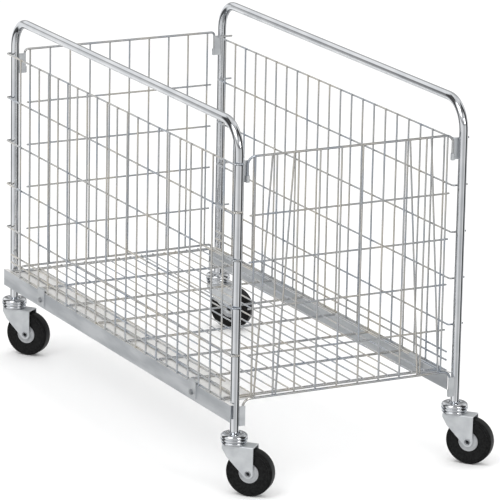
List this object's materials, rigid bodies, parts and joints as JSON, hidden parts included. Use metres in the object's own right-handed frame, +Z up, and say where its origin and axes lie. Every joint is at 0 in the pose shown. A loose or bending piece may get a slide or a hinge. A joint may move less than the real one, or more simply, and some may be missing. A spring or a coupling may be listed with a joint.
{
  "type": "folding wire basket trolley",
  "caption": "Wire mesh basket trolley on swivel casters, with tube hand rails, lift-out end gates and a mesh deck that tips up for storage.",
  "frame": {"origin": "on the floor, midway between the four posts", "axes": "+X along the trolley towards its front end, +Y to the side with the deck hinge, +Z up"},
  "size_m": [1.2016, 0.6143, 0.7846],
  "materials": {
    "plated_tube": "bright plated",
    "plated_wire": "bright plated wire",
    "zinc_sheet": "zinc plated sheet",
    "fastener_steel": "zinc plated",
    "tyre_rubber": "matte black",
    "hub_plastic": "grey moulding",
    "bush_plastic": "black moulding"
  },
  "bodies": {
    "frame": {"left_side_tube": "plated_tube", "left_side_mesh": "plated_wire", "left_rail": "zinc_sheet", "right_side_tube": "plated_tube", "right_side_mesh": "plated_wire", "right_rail": "zinc_sheet", "left_rail_straps": "zinc_sheet", "right_hinge_straps": "zinc_sheet", "strap_bolts": "fastener_steel", "strap_nuts": "fastener_steel", "front_left_upper_bracket": "zinc_sheet", "front_left_lower_bracket": "zinc_sheet", "front_right_upper_bracket": "zinc_sheet", "front_right_lower_bracket": "zinc_sheet", "rear_left_upper_bracket": "zinc_sheet", "rear_left_lower_bracket": "zinc_sheet", "rear_right_upper_bracket": "zinc_sheet", "rear_right_lower_bracket": "zinc_sheet", "front_left_stem_bush": "bush_plastic", "front_left_swivel_pin": "fastener_steel", "front_left_race_cup": "plated_tube", "front_right_stem_bush": "bush_plastic", "front_right_swivel_pin": "fastener_steel", "front_right_race_cup": "plated_tube", "rear_left_stem_bush": "bush_plastic", "rear_left_swivel_pin": "fastener_steel", "rear_left_race_cup": "plated_tube", "rear_right_stem_bush": "bush_plastic", "rear_right_swivel_pin": "fastener_steel", "rear_right_race_cup": "plated_tube"},
    "deck": {"deck_mesh": "plated_wire"},
    "front_gate": {"front_gate": "plated_wire"},
    "rear_gate": {"rear_gate": "plated_wire"},
    "front_left_caster": {"front_left_balls": "fastener_steel", "front_left_fork": "zinc_sheet", "front_left_axle_rivet": "fastener_steel"},
    "front_left_wheel": {"front_left_hub": "hub_plastic", "front_left_tyre": "tyre_rubber"},
    "front_right_caster": {"front_right_balls": "fastener_steel", "front_right_fork": "zinc_sheet", "front_right_axle_rivet": "fastener_steel"},
    "front_right_wheel": {"front_right_hub": "hub_plastic", "front_right_tyre": "tyre_rubber"},
    "rear_left_caster": {"rear_left_balls": "fastener_steel", "rear_left_fork": "zinc_sheet", "rear_left_axle_rivet": "fastener_steel"},
    "rear_left_wheel": {"rear_left_hub": "hub_plastic", "rear_left_tyre": "tyre_rubber"},
    "rear_right_caster": {"rear_right_balls": "fastener_steel", "rear_right_fork": "zinc_sheet", "rear_right_axle_rivet": "fastener_steel"},
    "rear_right_wheel": {"rear_right_hub": "hub_plastic", "rear_right_tyre": "tyre_rubber"}
  },
  "joints": [
    {"name": "front_gate_lift", "type": "slide", "parent": "frame", "child": "front_gate", "axis": [0, 0, 1], "range_m": [0, 0.65]},
    {"name": "rear_gate_lift", "type": "slide", "parent": "frame", "child": "rear_gate", "axis": [0, 0, 1], "range_m": [0, 0.65]},
    {"name": "deck_fold", "type": "hinge", "parent": "frame", "child": "deck", "pos_m": [0, 0.232, 0.19725], "axis": [-1, 0, 0], "range_deg": [0, 84]},
    {"name": "front_left_swivel", "type": "hinge", "parent": "frame", "child": "front_left_caster", "pos_m": [0.55, -0.26, 0.105], "axis": [0, 0, 1], "continuous": true},
    {"name": "front_left_spin", "type": "hinge", "parent": "front_left_caster", "child": "front_left_wheel", "pos_m": [0.57662, -0.2343, 0.05], "axis": [-0.6947, 0.7193, 0], "continuous": true},
    {"name": "front_right_swivel", "type": "hinge", "parent": "frame", "child": "front_right_caster", "pos_m": [0.55, 0.26, 0.105], "axis": [0, 0, 1], "continuous": true},
    {"name": "front_right_spin", "type": "hinge", "parent": "front_right_caster", "child": "front_right_wheel", "pos_m": [0.57792, 0.28427, 0.05], "axis": [-0.6561, 0.7547, 0], "continuous": true},
    {"name": "rear_left_swivel", "type": "hinge", "parent": "frame", "child": "rear_left_caster", "pos_m": [-0.55, -0.26, 0.105], "axis": [0, 0, 1], "continuous": true},
    {"name": "rear_left_spin", "type": "hinge", "parent": "rear_left_caster", "child": "rear_left_wheel", "pos_m": [-0.52084, -0.23722, 0.05], "axis": [-0.6157, 0.788, 0], "continuous": true},
    {"name": "rear_right_swivel", "type": "hinge", "parent": "frame", "child": "rear_right_caster", "pos_m": [-0.55, 0.26, 0.105], "axis": [0, 0, 1], "continuous": true},
    {"name": "rear_right_spin", "type": "hinge", "parent": "rear_right_caster", "child": "rear_right_wheel", "pos_m": [-0.52166, 0.28378, 0.05], "axis": [-0.6428, 0.766, 0], "continuous": true}
  ]
}
